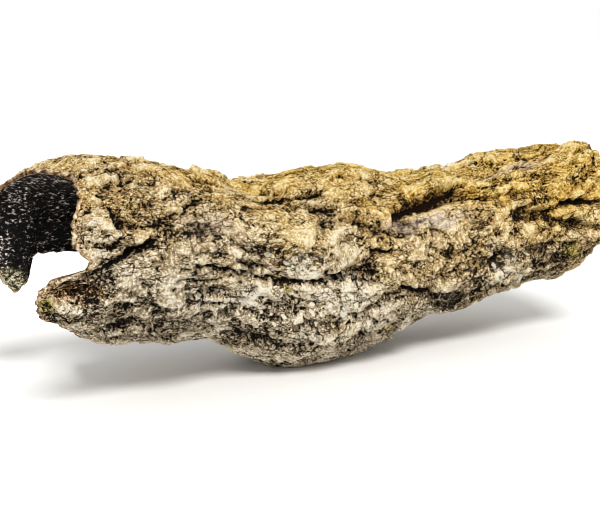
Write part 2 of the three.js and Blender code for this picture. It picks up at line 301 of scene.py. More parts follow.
def plates(x, t, size, step, tilt, seed):
    """Cells, each at its own height and tilted: the height, the gap to the border and its number."""
    border, own, off_x, off_y = cells(x / size[0], t / size[1], seed)
    lean = tilt * ((own * 7.3 % 1 - 0.5) * off_x + (own * 13.7 % 1 - 0.5) * off_y)
    return step * (own - 0.5) + lean, border, own


def large_relief(x, t):
    """Swellings plus tilted plates, minus a trough where a slow noise passes zero."""
    swell = SWELL * (noise(x / 75, t / 50, 1) + 0.55 * noise(x / 36, t / 26, 2))
    plate, _, _ = plates(x, t, PLATE, PLATE_STEP, PLATE_TILT, 7)
    furrow = FURROW_DEPTH * bell(noise(x / 85, t / 24, 5) / FURROW_REACH)
    return swell + plate - furrow * np.clip(0.6 + 1.6 * noise(x / 50, t / 30, 6), 0, 1)


def trough(crack, x, t):
    """Share of a crack's depth: a bell across its line, steeper above, where a plate has lifted."""
    start, end, reach, _ = crack
    along = np.clip((x - start[0]) / (end[0] - start[0]), 0, 1)
    aside = x - start[0] - along * (end[0] - start[0])
    above = t - girth(start[1] + along * (end[1] - start[1]))
    away = np.hypot(aside, above) + 1e-6
    return bell(away / (reach * (1.15 - 0.65 * above / away)))


def away_from(middle, reach, x, t):
    """The distance from a middle, counted in half lengths along the branch and in half widths round it."""
    return np.hypot((x - middle[0]) / reach[0], (t - girth(middle[1])) / reach[1])


RING_SHADE_AT = 0.85  # in half lengths from the middle, where the shade under a ring lies
MOAT_AT = 1.2
LINE_REACH = 0.16


def crack_shade_lines(x, t):
    """Painted shade: 1 along the bottoms of cracks and moats and under each ring's upper half, 0 away from
    them.
    """
    lines = [trough(crack, x, t) for crack in CRACKS]
    for middle, reach, high in RINGS:
        away = away_from(middle, reach, x, t)
        up = (t - girth(middle[1])) / (reach[1] * away + 1e-6)
        under_ring = bell((away - RING_SHADE_AT) / LINE_REACH) * np.clip(0.5 + up, 0, 1)
        in_moat = 0.9 * bell((away - MOAT_AT) / LINE_REACH)
        lines.append(under_ring if high > 0 else in_moat)
    return np.max(lines, axis=0)


def scars(x, t):
    """Depth of the cracks, less the rings, plus the hollows, each a flat-bottomed bell round a point."""
    depth = np.max([crack[3] * trough(crack, x, t) for crack in CRACKS], axis=0)
    for middle, reach, high in RINGS:
        depth = depth - high * bell((away_from(middle, reach, x, t) - 1.2) / 0.25)
    for middle, reach, deep in HOLLOWS:
        depth = depth + deep * bell(away_from(middle, reach, x, t) ** 2)
    return depth


def unworn(x, t):
    """Share of the relief that is left: none in the middle of the worn spot."""
    return 1 - bell(away_from(*REST_SPOT, x, t) ** 2)


print("cracks and hollows:", len(CRACKS), "and", len(HOLLOWS))

# %% [markdown]
# Close up, cork bark is flaky and granular: ragged flakes lie on the plates, thin cracks run between
# them, and the weather has eaten the surface into pits and crumbs. Each is one more layer of height,
# smaller than the one before.

# %% Small relief
RAGGED = 1.5  # how far edges are frayed
FLAKE = (20.0, 8.5)
FLAKE_STEP = 2.8
FLAKE_TILT = 2.2
CHIP = (7.0, 4.0)
CHIP_STEP = 1.4
CRUMB = (3.4, 2.9)
CRUMB_STEP = 0.7
SEAM_DEPTH = 1.8
HAIRLINE_DEPTH = 2.4
GRAIN = 0.6


def fray(x, t):
    """The place shaken by two quick noises, so that every edge of plates and cracks is ragged."""
    shake_x = noise(x / 7, t / 6, 11) + 0.5 * noise(x / 3.2, t / 2.8, 12)
    shake_t = noise(x / 7.5, t / 5.5, 13) + 0.5 * noise(x / 3.4, t / 2.6, 14)
    return x + 2 * RAGGED * shake_x, t + RAGGED * shake_t


def small_relief(x, t):
    """Flakes, chips, crumbs, hairline cracks and grain. Also each flake's number and the seams."""
    flake, border, own = plates(x, t, FLAKE, FLAKE_STEP, FLAKE_TILT, 15)
    chip, chip_border, _ = plates(x, t, CHIP, CHIP_STEP, 0.6, 18)
    crumb, _, _ = plates(x, t, CRUMB, CRUMB_STEP, 0.4, 26)
    seam = SEAM_DEPTH * bell(border / 0.08) * np.clip(0.5 + 1.5 * noise(x / 30, t / 20, 38), 0, 1)
    seam = seam + 0.4 * bell(chip_border / 0.12)
    broken_up = np.clip(2 * noise(x / 22, t / 14, 25), 0, 1)
    hairline = HAIRLINE_DEPTH * bell(noise(x / 34, t / 9, 24) / 0.07) * broken_up
    grain = GRAIN * (noise(x / 4.4, t / 3.6, 21) + 0.8 * noise(x / 2.3, t / 2.2, 22))
    return flake + chip + crumb - seam - hairline + grain, own, seam + hairline


print("smallest crumbs:", CHIP[0], "x", CHIP[1], "mm")

# %% [markdown]
# Now the sheet is sampled. The outer face gets a fine grid, because its relief makes the look. High spots
# also lean a little down, as flakes hang, which gives undercuts that no plain height could give. The
# inner face is smoother and ribbed lengthwise, and gets a third of the steps along and
# half of them round.

# %% Outer and inner faces
OUTER_STEPS = (348, 222)
INNER_STEPS = (116, 111)
INNER_CROWD = 0.6  # the inner grid is finer near the mouths, where it is seen
EDGE_WEAR = 3.0  # how far broken edges are worn back, over EDGE_RUN
EDGE_RUN = 7.0
LEAN = 0.15  # how far a spot sags down, as a share of its height


def crowd(s, share):
    """Steps from 0 to 1 that crowd towards both ends: shorter there by that share, longer in the middle."""
    return s - share * np.sin(2 * np.pi * s) / (2 * np.pi)


def grid_of(steps, crowded):
    """u and v of a grid with that many steps along the branch and round it."""
    along = crowd(np.linspace(0, 1, steps[0] + 1), crowded)
    return np.meshgrid(along, np.linspace(0, 1, steps[1] + 1), indexing="ij")


def inner_radius(x, angle, to_edge):
    """Distance from the pith to the mean inner face: the outline less a wall that thins at its edges."""
    share = WALL_SHARE + (RIM_SHARE - WALL_SHARE) * bell(to_edge / RIM_RUN)
    return outline(x, angle) * (1 - share)


def outer_face(u, v):
    """The outline plus all relief, worn back at the edges and cut flat below. Also heights and numbers."""
    x, angle, to_edge = sheet(u, v)
    t = girth(angle)
    bent_x, bent_t = fray(*wander(x, t))
    fine, flake, seam = small_relief(bent_x, bent_t)
    height = unworn(x, t) * (large_relief(bent_x, bent_t) + fine - scars(*fray(x, t)))
    height = height - EDGE_WEAR * bell(to_edge / EDGE_RUN)
    height = np.maximum(height, inner_radius(x, angle, to_edge) + LEAST_WALL - outline(x, angle))
    sag = LEAN * height * np.cos(np.radians(angle)) * unworn(x, t)
    points = place(x, angle - np.degrees(sag / GIRTH_RADIUS), outline(x, angle) + height)
    points[..., 2] = np.maximum(points[..., 2], 0.0)
    return points, height, flake, seam * unworn(x, t), x, angle, to_edge


def inner_face(u, v):
    """The outline less the wall, with waves and long ribs."""
    x, angle, to_edge = sheet(u, v)
    t = girth(angle)
    wave = 1.6 * noise(x / 40, t / 24, 9) + 0.7 * noise(x / 30, t / 6, 23)
    bent_x = x + 4 * noise(x / 9, t / 9, 27)
    bent_t = t + 3 * noise(x / 8, t / 8, 28)
    scale, _, _ = plates(bent_x, bent_t, (9.0, 6.0), 1.6, 2.2, 29)
    wave = wave + scale + 0.5 * noise(x / 5, t / 4, 30)
    return place(x, angle, inner_radius(x, angle, to_edge) + wave * (1 - bell(to_edge / RIM_RUN)))


outer_u, outer_v = grid_of(OUTER_STEPS, 0.0)
outer_points, height, flake_own, seam, outer_x, outer_angle, to_edge = outer_face(outer_u, outer_v)
inner_points = inner_face(*grid_of(INNER_STEPS, INNER_CROWD))
print("relief from", round(float(height.min()), 1), "to", round(float(height.max()), 1), "mm")

# %% [markdown]
# The wall's broken edge runs once round the sheet: along a rim, a lip, the other rim and the other lip.
# It is a band of rows from the outer edge to the inner one, and it bulges out a little, with the layers
# of the cork showing.

# %% Broken edge of the wall
EDGE_ROWS = 7
EDGE_BULGE = 1.6
LAYER_DEPTH = 0.8


def around(grid):
    """The border of a grid, once round: along one rim, a lip, the other rim and the other lip."""
    return np.concatenate([grid[0, :-1], grid[:-1, -1], grid[-1, :0:-1], grid[:0:-1, 0]])


def numbers_of(steps):
    """The numbers of a grid's vertices, as a grid."""
    return np.arange((steps[0] + 1) * (steps[1] + 1)).reshape(steps[0] + 1, steps[1] + 1)


def running(u, v):
    """A number from 0 to 4 along the border: a whole one for each side plus the share of the side."""
    lip = np.where(v == 1, 1 + u, 4 - u)
    rim = np.where(u == 0, v, 3 - v)
    return np.where((u == 0) & (v < 1) | (u == 1) & (v > 0), rim, lip)


loop_u, loop_v = around(outer_u), around(outer_v)
loop_run = running(loop_u, loop_v)
inner_run = running(*[around(grid) for grid in grid_of(INNER_STEPS, INNER_CROWD)])
outer_loop = around(numbers_of(OUTER_STEPS))
inner_loop = around(numbers_of(INNER_STEPS))


def edge_band():
    """Rows from the outer to the inner edge, pushed out by a half wave across the wall and by layers."""
    first = outer_points.reshape(-1, 3)[outer_loop]
    last = inner_face(loop_u, loop_v)
    across = (np.arange(1, EDGE_ROWS + 1) / (EDGE_ROWS + 1))[:, None]
    out_x = np.where(loop_u == 0, -1.0, np.where(loop_u == 1, 1.0, 0.0))
    out = np.stack([out_x, 0 * loop_u, 0 * loop_u], axis=-1)
    run = loop_run * 90
    layers = noise(across * 9 + 0 * run, run / 14 + 0 * across, 25) + 0.8 * noise(across * 5, run / 3.5, 26)
    push = EDGE_BULGE * np.sin(np.pi * across) + LAYER_DEPTH * layers * np.sin(np.pi * across) ** 0.5
    return first + (last - first) * across[..., None] + push[..., None] * out, across + 0 * run


edge_points, edge_across = edge_band()
print("rows across the broken edge:", EDGE_ROWS, "of", len(loop_u), "points")

# %% [markdown]
# The three sets of points become one closed mesh. Grids give four-sided faces. Between the last row of
# the edge and the inner face the steps differ, so that strip is zipped with triangles: the side that is
# behind takes the next step.

# %% Faces
def grid_faces(steps, first, turned):
    """Four-sided faces of a grid whose first vertex has that number."""
    number = first + numbers_of(steps)
    corners = [number[:-1, :-1], number[1:, :-1], number[1:, 1:], number[:-1, 1:]]
    faces = np.stack(corners, axis=-1).reshape(-1, 4)
    return faces[:, ::-1] if turned else faces


def band_faces(rows):
    """Four-sided faces between closed rows of vertex numbers."""
    near, far = rows[:-1], rows[1:]
    corners = [near, np.roll(near, -1, axis=1), np.roll(far, -1, axis=1), far]
    return np.stack(corners, axis=-1).reshape(-1, 4)


def zip_faces(row, row_run, other, other_run):
    """Triangles between two closed rows, in the order in which their steps end."""
    ends = np.concatenate([row_run[1:], [4.0], other_run[1:] + 1e-6, [4.0 + 1e-6]])
    order = np.argsort(ends, kind="stable")
    from_row = order < len(row)
    i = np.cumsum(from_row) - from_row
    j = np.cumsum(~from_row) - ~from_row
    step_row = np.stack([row[i % len(row)], row[(i + 1) % len(row)], other[j % len(other)]], axis=-1)
    step_other = np.stack([row[i % len(row)], other[(j + 1) % len(other)], other[j % len(other)]], axis=-1)
    return np.where(from_row[:, None], step_row, step_other)


outer_count = outer_points.size // 3
edge_count = edge_points.size // 3
edge_rows = outer_count + np.arange(edge_count).reshape(EDGE_ROWS, -1)
inner_first = outer_count + edge_count
outer_quads = grid_faces(OUTER_STEPS, 0, False)
inner_quads = grid_faces(INNER_STEPS, inner_first, True)
edge_quads = band_faces(np.vstack([outer_loop, edge_rows]))
edge_triangles = zip_faces(edge_rows[-1], loop_run, inner_first + inner_loop, inner_run)
triangle_count = 2 * (len(outer_quads) + len(inner_quads) + len(edge_quads)) + len(edge_triangles)
print("triangles:", triangle_count)


def make_mesh(name, points, quads, triangles):
    """A mesh from arrays: points in millimetres, then all four-sided faces, then all triangles."""
    mesh = bpy.data.meshes.new(name)
    corners = np.concatenate([quads.ravel(), triangles.ravel()]).astype(np.int32)
    sizes = np.concatenate([np.full(len(quads), 4), np.full(len(triangles), 3)])
    mesh.vertices.add(len(points))
    mesh.vertices.foreach_set("co", (points * MM).astype(np.float32).ravel())
    mesh.loops.add(len(corners))
    mesh.loops.foreach_set("vertex_index", corners)
    mesh.polygons.add(len(sizes))
    mesh.polygons.foreach_set("loop_start", (np.cumsum(sizes) - sizes).astype(np.int32))
    mesh.update(calc_edges=True)
    mesh.validate()
    return mesh


point_sets = (outer_points, edge_points, inner_points)
all_points = np.concatenate([points.reshape(-1, 3) for points in point_sets])
all_quads = np.concatenate([outer_quads, edge_quads, inner_quads])
bark_mesh = make_mesh("cork_bark", all_points, all_quads, edge_triangles)
bark = bpy.data.objects.new("cork_bark", bark_mesh)
bpy.context.scene.collection.objects.link(bark)
print("vertices:", len(all_points))

# %% [markdown]
# Colour follows shape here: creases and furrows are darker with painted shade, edges and crowns lighter
# with painted highlight, the top is golden, partly by weathering and partly as painted warm light, and
# the lower side is grey and a little darker with painted shade. So each vertex carries a few plain
# numbers, worked out from the same relief: how light it is, how warm, how near a broken edge, how worn,
# where painted shade darkens cracks, and how much lichen and moss grow there.

# %% Numbers for the colours
LICHEN = [
    ((-52, 2), 9), ((-45, -2), 6), ((-18, -20), 9), ((-8, -17), 6), ((124, -21), 8), ((115, -29), 8),
    ((136, -34), 7), ((104, -3), 5), ((-83, -21), 7), ((-30, 160), 12), ((60, 140), 10),
    ((120, 110), 9), ((-110, 120), 9),
]
MOSS = [
    ((-206, -27), 6), ((178, -17), 7), ((184, -24), 6), ((25, -44), 6), ((-60, -14), 4),
    ((-40, 175), 14), ((130, 170), 13),
]


# Darker and lighter places, with a minus for darker: x and angle, half length, half width, amount.
# Some are stains and bleached places; those over hollows and cracks are painted shade in them, and
# broad ones darken the lower side or lighten the far top.
STAINS_AND_SHADE = [
    ((-148, 18), (26, 15), -0.14), ((-112, 0), (14, 6), -0.20), ((-118, 42), (10, 7), -0.20),
    ((-46, 46), (14, 8), -0.16), ((-16, 34), (18, 6), -0.20), ((-70, 13), (32, 5), -0.16),
    ((-80, 4), (8, 6), -0.20), ((-4, -4), (12, 8), -0.26), ((-73, -40), (14, 12), -0.18),
    ((6, -25), (18, 5), -0.10), ((86, -4), (20, 13), -0.26), ((138, 25), (16, 12), -0.26),
    ((158, 7), (10, 12), -0.20), ((148, -15), (20, 5), -0.20), ((62, -34), (16, 7), -0.18),
    ((-160, -25), (22, 9), -0.08), ((64, 43), (30, 6), -0.20), ((120, -45), (60, 10), -0.16),
    ((-10, -46), (60, 14), -0.02), ((-62, 24), (26, 9), 0.14), ((-20, 27), (8, 7), 0.12),
    ((-12, 6), (12, 10), 0.10), ((-82, -21), (12, 6), 0.22), ((-178, 48), (14, 16), 0.08),
    ((40, 64), (90, 18), 0.18), ((-10, -20), (46, 14), 0.14), ((182, -24), (40, 22), -0.30),
    ((108, -32), (48, 16), -0.20), ((-150, -36), (40, 16), -0.16), ((-190, -28), (18, 12), -0.10),
    ((-184, -11), (12, 5), -0.25), ((50, 40), (16, 4), -0.45), ((80, 49), (14, 5), -0.45),
    ((170, 66), (50, 22), 0.08), ((-176, 22), (10, 12), 0.10), ((-120, 110), (26, 14), -0.18),
    ((20, 130), (30, 12), -0.18), ((130, 120), (24, 14), -0.16), ((-40, 165), (30, 10), -0.16),
    ((90, 175), (30, 12), -0.18), ((-140, 165), (24, 12), -0.16), ((60, 150), (26, 10), 0.12),
    ((-70, 125), (24, 12), 0.12),
]
# Places where the top layer came off and the smooth one below shows.
WORN = [
    ((50, 24), (36, 6), 1.0), ((-108, 24), (16, 6), 0.6), ((150, 60), (26, 8), 0.6),
    ((-20, 140), (30, 8), 0.8),
]
# Places with white lichen dots.
DOTS = [
    ((-62, -4), (34, 12), 1.0), ((-70, -30), (50, 16), 0.9), ((-20, -24), (40, 16), 0.8),
    ((110, -24), (30, 14), 0.8), ((0, 150), (90, 22), 0.8), ((-120, 120), (40, 20), 0.7),
    ((130, 120), (50, 20), 0.6),
]
# Places where the cork broke open.
BARE = [((-190, -16), (16, 7), 0.75), ((66, 40), (26, 5), 0.6)]


def ellipses(rows, x, t):
    """Sum of amounts, each within a flat-topped bell with a frayed edge."""
    x, t = x + 8 * noise(x / 12, t / 9, 36), t + 5 * noise(x / 11, t / 8, 37)
    return sum(amount * bell(away_from(middle, reach, x, t) ** 2) for middle, reach, amount in rows)


def soften(grid, reach):
    """The mean over neighbours up to reach steps away, three times along each axis, as a soft blur."""
    for axis in (0, 1) * 3:
        pad = [(0, 0), (0, 0)]
        pad[axis] = (reach + 1, reach)
        sums = np.cumsum(np.pad(grid, pad, mode="edge"), axis=axis)
        sums = np.moveaxis(sums, axis, 0)
        width = 2 * reach + 1
        grid = np.moveaxis((sums[width:] - sums[:-width]) / width, 0, axis)
    return grid


def patches(spots, x, t, seed):
    """How much of a growth there is: bells round the spots, broken up by noise."""
    reach_of = [bell(np.hypot(x - at[0], t - girth(at[1])) / reach) for at, reach in spots]
    return np.clip(1.6 * np.max(reach_of, axis=0) * (0.75 + noise(x / 5, t / 4, seed)) - 0.25, 0, 1)


outer_t = girth(outer_angle)
# Height less its blur: above it on crowns, below it in creases and furrows, for painted highlight and shade.
crown_light_crease_shade = height - soften(height, 2)
ridge_light_furrow_shade = height - soften(height, 9)
mottle = noise(outer_x / 24, outer_t / 15, 31) + 0.6 * noise(outer_x / 10, outer_t / 7, 35)
MEAN_TONE = 0.63
STAIN_AND_SHADE_SHARE = 0.7
facing_up = np.sin(np.radians(outer_angle))
underside_shade = np.clip(-1.5 * facing_up, 0, 1)
# The tone: painted highlight on small crowns and painted shade in creases and furrows, random flake and
# mottle tone, painted shade on the lower side and in the seams, the listed stains with their painted shade,
# and lighter near broken edges.
tone = (
    MEAN_TONE + 0.10 * crown_light_crease_shade + 0.02 * ridge_light_furrow_shade + 0.13 * (flake_own - 0.5)
    + 0.06 * np.clip(mottle, -1.2, 0.6) - 0.03 * underside_shade - 0.10 * seam
    + STAIN_AND_SHADE_SHARE * ellipses(STAINS_AND_SHADE, outer_x, outer_t) + 0.06 * bell(to_edge / 6.0)
)
tone = np.clip(tone, 0.30, 0.82)
# Warmer towards the top and the far end: partly golden weathering, partly painted warm light from above.
warmth_and_top_light = 0.36 + 0.62 * facing_up + 0.0018 * outer_x + 0.25 * noise(outer_x / 45, outer_t / 30, 32)
warmth_and_top_light = np.clip(warmth_and_top_light, 0, 1)
numbers = {
    "tone": tone,
    "warmth_and_top_light": warmth_and_top_light,
    "bare": np.clip(0.35 * bell(to_edge / 3.0) + ellipses(BARE, outer_x, outer_t), 0, 1),
    "worn": np.clip(ellipses(WORN, outer_x, outer_t), 0, 1),
    "lichen": patches(LICHEN, outer_x, outer_t, 33),
    "moss": patches(MOSS, outer_x, outer_t, 34),
    # Painted shade along crack bottoms, in moats and under rings.
    "crack": crack_shade_lines(*fray(outer_x, outer_t)),
    "dots": np.clip(ellipses(DOTS, outer_x, outer_t), 0, 1),
}


def add_number(mesh, name, outer_values, edge_values, inner_values):
    """One number on every vertex, for the outer face, the broken edge and the inner face in turn."""
    values = np.concatenate([outer_values.ravel(), edge_values.ravel(), inner_values.ravel()])
    mesh.attributes.new(name, "FLOAT", "POINT").data.foreach_set("value", values.astype(np.float32))


# The tip of the hanging finger is pale with lichen on all its faces.
FINGER_TIP = [((-203, 214), (13, 8), 0.9)]
inner_x, inner_angle, _ = sheet(*grid_of(INNER_STEPS, INNER_CROWD))
loop_x, loop_angle, _ = sheet(loop_u, loop_v)
no_inner = 0 * inner_x
for name, values in numbers.items():
    add_number(bark_mesh, name, values, 0 * edge_across, no_inner)
add_number(bark_mesh, "across", 0 * tone, edge_across, no_inner)
finger_edge = 0 * edge_across + ellipses(FINGER_TIP, loop_x, girth(loop_angle))
finger_inner = ellipses(FINGER_TIP, inner_x, girth(inner_angle))
add_number(bark_mesh, "finger", ellipses(FINGER_TIP, outer_x, outer_t), finger_edge, finger_inner)
unrolled = np.zeros_like(all_points)
unrolled[: outer_x.size] = MM * np.stack([outer_x, outer_t, 0 * outer_x], axis=-1).reshape(-1, 3)
unrolled_data = bark_mesh.attributes.new("unrolled", "FLOAT_VECTOR", "POINT").data
unrolled_data.foreach_set("vector", unrolled.astype(np.float32).ravel())
print("tone from", round(float(tone.min()), 2), "to", round(float(tone.max()), 2))

# %% [markdown]
# Materials next. Colours are written as screen colours in hex, and one function turns them to the linear
# values that the renderer counts in. Another adds a node with its settings and links, so that a material
# reads as a list.

# %% Helpers for materials
def linear(code):
    """Linear red, green, blue and alpha of an sRGB hex colour."""
    value = np.array([int(code[i : i + 2], 16) for i in (1, 3, 5)]) / 255
    return (*np.where(value <= 0.04045, value / 12.92, ((value + 0.055) / 1.055) ** 2.4), 1.0)


def node(tree, kind, links=None, **settings):
    """Adds a node, sets its properties, and links or sets its inputs by name or number."""
    made = tree.nodes.new(kind)
    for key, value in settings.items():
        setattr(made, key, value)
    for key, value in (links or {}).items():
        if isinstance(value, bpy.types.NodeSocket):
            tree.links.new(value, made.inputs[key])
        else:
            made.inputs[key].default_value = value
    return made


def ramp(tree, factor, stops):
    """A colour ramp of (position, hex) stops."""
    made = node(tree, "ShaderNodeValToRGB", {"Fac": factor})
    while len(made.color_ramp.elements) < len(stops):
        made.color_ramp.elements.new(0.5)
    for element, (position, code) in zip(made.color_ramp.elements, stops):
        element.position = position
        element.color = linear(code)
    return made.outputs["Color"]


def new_material(name):
    """A material with its tree and its main shader."""
    material = bpy.data.materials.new(name)
    material.use_nodes = True
    return material, material.node_tree, material.node_tree.nodes["Principled BSDF"]


def per_metre(size_mm):
    """Scale of a texture whose features are that many millimetres across."""
    return 1000.0 / size_mm


print("cork's mid brown, linear:", np.round(linear("#9a8260")[:3], 3))

# %% [markdown]
# Weathered cork: dry, matt and granular. Two ramps, one golden and one grey, turn lightness into colour,
# and how warm the vertex is mixes them; that is partly golden weathering and partly painted warm light
# on the top. Small flakes and the black cracks between them are finer than the mesh, so they are drawn
# on the unrolled sheet by a cell texture, stretched along the branch and frayed by noise, and they dent the
# surface too; the black of the cracks is painted shade. Over them lies the grain, with dark pits of painted
# shade and pale flecks of painted glint. Its real size is under half a millimetre, which would not show, so
# it is drawn at about two.

# %% Weathered cork
# Small flakes: length and width in mm, the crack's share of that, and how much their tones differ.
SMALL_FLAKES = [((22.0, 8.5), 0.045, 0.08), ((9.0, 4.6), 0.07, 0.20), ((3.8, 2.5), 0.12, 0.34)]
DOT_GAP = 4.6  # mean distance of the white lichen dots, in mm
GRAIN_SIZE = 1.8
PIT_SIZE = 1.9
GLINT_SIZE = 1.5
FRAY = (0.006, 0.0022, 0.0)  # in metres, how far noise shakes the flakes' borders along and round
CRACK_SHADE = 0.45  # how much lightness the painted shade of a crack, a pit and a deep furrow takes, and a painted glint gives
PIT_SHADE = 0.5
FURROW_SHADE = 0.6
GLINT_LIGHT = 0.3
DENTS = 1.3  # in mm, for the bump


def weathered_cork():
    """Lightness is the vertex's tone plus noise and flakes, less the painted shade of cracks and pits, plus
    painted glints. Ramps colour it.
    """
    material, tree, shader = new_material("weathered_cork")
    place_on = node(tree, "ShaderNodeTexCoord").outputs["Object"]

    def number(name, output="Fac"):
        """A number of the vertex, by its name."""
        return node(tree, "ShaderNodeAttribute", attribute_name=name).outputs[output]

    def math(operation, a, b, c=0.0):
        """One step of sums on plain numbers."""
        return node(tree, "ShaderNodeMath", {0: a, 1: b, 2: c}, operation=operation).outputs["Value"]

    def mix(factor, a, b):
        """Colour a where the factor is 0, and b where it is 1."""
        return node(tree, "ShaderNodeMix", {0: factor, 6: a, 7: b}, data_type="RGBA").outputs[2]

    def speckle(size_mm, detail, roughness, output="Fac"):
        """Noise with spots of about that size."""
        links = {"Vector": place_on, "Scale": per_metre(size_mm), "Detail": detail, "Roughness": roughness}
        return node(tree, "ShaderNodeTexNoise", links).outputs[output]

    def between(value, none, full):
        """0 where the value is none, 1 where it is full, with a smooth step between."""
        limits = {"Value": value, "From Min": none, "From Max": full}
        return node(tree, "ShaderNodeMapRange", limits, interpolation_type="SMOOTHSTEP").outputs["Result"]

    def vector(operation, a, b):
        """One step of sums on three numbers at once."""
        return node(tree, "ShaderNodeVectorMath", {0: a, 1: b}, operation=operation).outputs[0]

    shake = vector("SUBTRACT", speckle(3.0, 3.0, 0.6, "Color"), (0.5, 0.5, 0.5))
    frayed = vector("ADD", number("unrolled", "Vector"), vector("MULTIPLY", shake, FRAY))
    rough = math("MULTIPLY_ADD", speckle(GRAIN_SIZE, 4.0, 0.7), 1.5, -0.73)
    for (long, wide), crack, tone_share in SMALL_FLAKES:
        on_sheet = vector("MULTIPLY", frayed, (per_metre(long), per_metre(wide), 0.0))
        cell = {"Vector": on_sheet, "Scale": 1.0}
        own = node(tree, "ShaderNodeTexVoronoi", cell, voronoi_dimensions="2D").outputs["Color"]
        edge = node(tree, "ShaderNodeTexVoronoi", cell, voronoi_dimensions="2D", feature="DISTANCE_TO_EDGE")
        # Dark lines along the cell borders: painted shade in the small cracks.
        line = between(edge.outputs["Distance"], crack, 0.0)
        line = math("MULTIPLY", line, between(speckle(14.0, 2.0, 0.5), 0.43, 0.57))
        rough = math("MULTIPLY_ADD", own, tone_share, math("SUBTRACT", rough, tone_share / 2))
        rough = math("MULTIPLY_ADD", line, -CRACK_SHADE, rough)
    # Dark pits where two noises and the tone add up: painted shade in the pits.
    pit_shade = math("MULTIPLY_ADD", speckle(15.0, 2.0, 0.5), 0.6, speckle(PIT_SIZE, 2.0, 0.6))
    pit_shade = math("MULTIPLY_ADD", number("tone"), 0.6, pit_shade)
    rough = math("MULTIPLY_ADD", between(pit_shade, 1.03, 0.97), -PIT_SHADE, rough)
    # Pale flecks: painted glints.
    glints = between(speckle(GLINT_SIZE, 2.0, 0.6), 0.53, 0.59)
    rough = math("MULTIPLY_ADD", glints, GLINT_LIGHT, rough)
    calm = math("MULTIPLY_ADD", number("worn"), -0.65, 1.0)
    lightness = math("MULTIPLY_ADD", rough, calm, number("tone"))
    # Near-black where the crack number is high: painted shade along crack bottoms.
    deep = math("MULTIPLY_ADD", speckle(2.4, 2.0, 0.6), 0.7, number("crack"))
    lightness = math("MULTIPLY_ADD", between(deep, 1.08, 1.2), -FURROW_SHADE, lightness)

    golden = ramp(tree, lightness, [
        (0.04, "#120a03"), (0.24, "#553d16"), (0.44, "#a37a30"),
        (0.62, "#d3a64b"), (0.80, "#e9c56a"), (1.0, "#f9e8b4"),
    ])
    grey = ramp(tree, lightness, [
        (0.04, "#110c07"), (0.24, "#4a3f30"), (0.44, "#85755c"),
        (0.62, "#b5a283"), (0.80, "#dccbaa"), (1.0, "#faf2e1"),
    ])
    colour = mix(number("warmth_and_top_light"), grey, golden)
    colour = mix(number("worn"), colour, ramp(tree, lightness, [
        (0.1, "#2e241d"), (0.4, "#84725f"), (0.6, "#b5a28b"), (0.85, "#e0d1ba"),
    ]))
    broken = ramp(tree, lightness, [(0.1, "#1c0d04"), (0.4, "#6d4a28"), (0.65, "#c4985f"), (1.0, "#f7e5c2")])
    colour = mix(number("bare"), colour, broken)
    colour = mix(math("MULTIPLY", number("lichen"), 0.85), colour, ramp(tree, lightness, [
        (0.1, "#7a6c4c"), (0.4, "#dccfae"), (0.65, "#fff9e8"),
    ]))
    colour = mix(math("MULTIPLY", number("moss"), 0.75), colour, ramp(tree, lightness, [
        (0.1, "#1f1a05"), (0.45, "#7c6f1c"), (0.8, "#bdae3c"),
    ]))
    dotted = vector("MULTIPLY", frayed, (per_metre(DOT_GAP), per_metre(DOT_GAP), 0.0))
    dot = node(tree, "ShaderNodeTexVoronoi", {"Vector": dotted, "Scale": 1.0}, voronoi_dimensions="2D")
    round_dot = between(dot.outputs["Distance"], 0.32, 0.20)
    chosen = math("GREATER_THAN", dot.outputs["Color"], 0.5)
    dots = math("MULTIPLY", round_dot, chosen)
    colour = mix(math("MULTIPLY", dots, number("dots")), colour, linear("#fdf3dc"))
    tree.links.new(colour, shader.inputs["Base Color"])
    shader.inputs["Roughness"].default_value = 0.88
    shader.inputs["Specular IOR Level"].default_value = 0.1
    bump = node(tree, "ShaderNodeBump", {"Height": lightness, "Strength": 1.0, "Distance": DENTS * MM})
    tree.links.new(bump.outputs["Normal"], shader.inputs["Normal"])
    return material


print("small flakes, in mm:", [size for size, _, _ in SMALL_FLAKES])

# %% [markdown]
# The broken edge shows raw cork, cream to brown, in thin layers that run along the wall. The inner face
# once lay on the wood: it is nearly black, scaly and faintly glossy, and pale specks on it are painted
# highlights, the light that its scales catch.

# %% Broken cork and inner face
def with_pale_finger(tree, colour, speck):
    """The colour with the finger's lichen over it: yellowish grey with dark gaps."""
    amount = node(tree, "ShaderNodeAttribute", attribute_name="finger").outputs["Fac"]
    pale = ramp(tree, speck, [(0.40, "#15120b"), (0.47, "#6f6748"), (0.54, "#c2b68c"), (0.62, "#f0e8cb")])
    return node(tree, "ShaderNodeMix", {0: amount, 6: colour, 7: pale}, data_type="RGBA").outputs[2]


